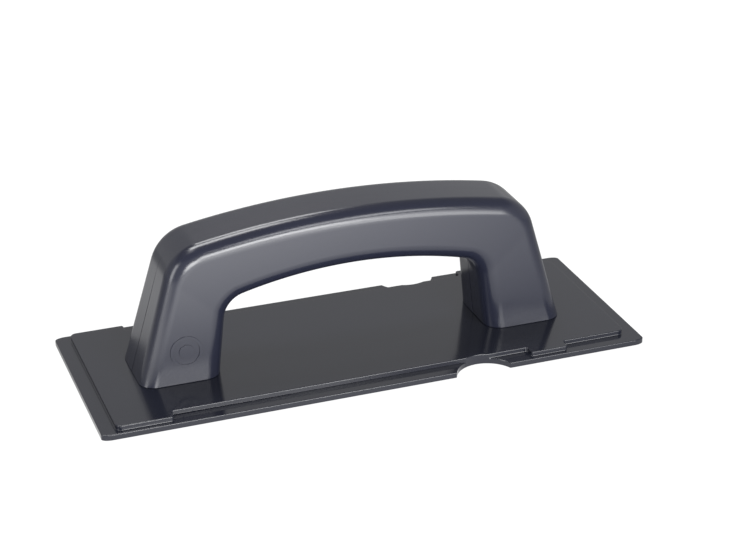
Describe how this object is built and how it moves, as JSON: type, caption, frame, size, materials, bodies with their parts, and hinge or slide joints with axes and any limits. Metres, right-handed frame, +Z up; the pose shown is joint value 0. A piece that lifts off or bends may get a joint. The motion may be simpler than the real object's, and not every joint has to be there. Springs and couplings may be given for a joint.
{
  "type": "sanding block",
  "caption": "Hand sanding block: a flat rectangular plate for clip-on abrasive pads, with a hollow D-shaped handle of two screwed half shells.",
  "frame": {"origin": "centre of the base plate's underside, which is the face that the pads sit on", "axes": "+X along the plate towards the release notches, +Y across the plate towards the handle screws' side (the back), +Z up from the pad face through the handle"},
  "size_m": [0.28, 0.104, 0.081],
  "materials": {
    "plate_plastic": "semi-gloss dark navy-grey moulded plastic",
    "handle_plastic": "semi-gloss dark navy-grey moulded plastic",
    "screw_steel": "zinc-plated steel"
  },
  "bodies": {
    "root": {"base_plate": "plate_plastic", "handle_front_shell": "handle_plastic", "handle_back_shell": "handle_plastic", "base_screw_1": "screw_steel", "base_screw_2": "screw_steel", "base_screw_3": "screw_steel", "base_screw_4": "screw_steel", "handle_screw_left": "screw_steel", "handle_screw_middle": "screw_steel", "handle_screw_right": "screw_steel"}
  },
  "joints": []
}
